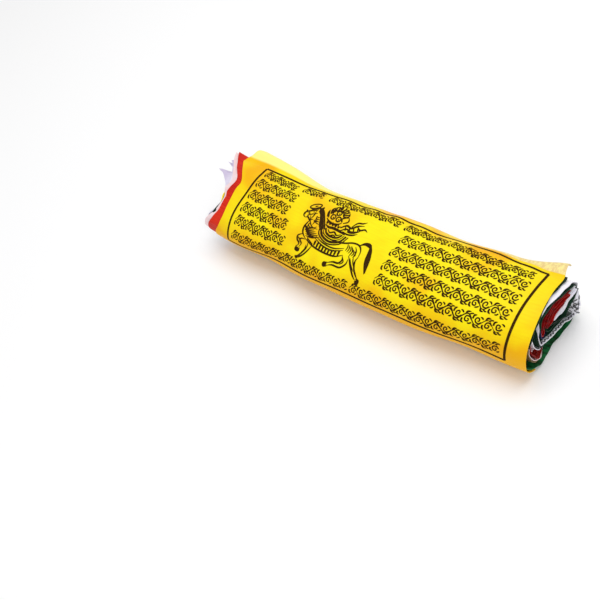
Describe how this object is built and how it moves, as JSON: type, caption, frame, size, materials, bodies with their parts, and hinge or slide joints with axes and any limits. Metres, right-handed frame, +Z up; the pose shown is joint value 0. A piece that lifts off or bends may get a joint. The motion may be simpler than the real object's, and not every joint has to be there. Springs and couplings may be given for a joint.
{
  "type": "roll of prayer flags",
  "caption": "Satin prayer flags wound into a flattened roll, the last one outside with a block print, its margin loose, and a folded heading tape in the back.",
  "frame": {"origin": "middle of the flat spot that the roll lies on, half way along it", "axes": "+X along the roll towards its tidy end, +Y towards the heading tape, +Z up; the print faces up and -Y"},
  "size_m": [0.194, 0.0545, 0.0311],
  "materials": {
    "yellow_satin": "satin",
    "green_satin": "satin",
    "white_tape": "matt"
  },
  "bodies": {
    "root": {"last_flag": "yellow_satin", "wound_flags": "green_satin", "heading_tape": "white_tape"}
  },
  "joints": []
}
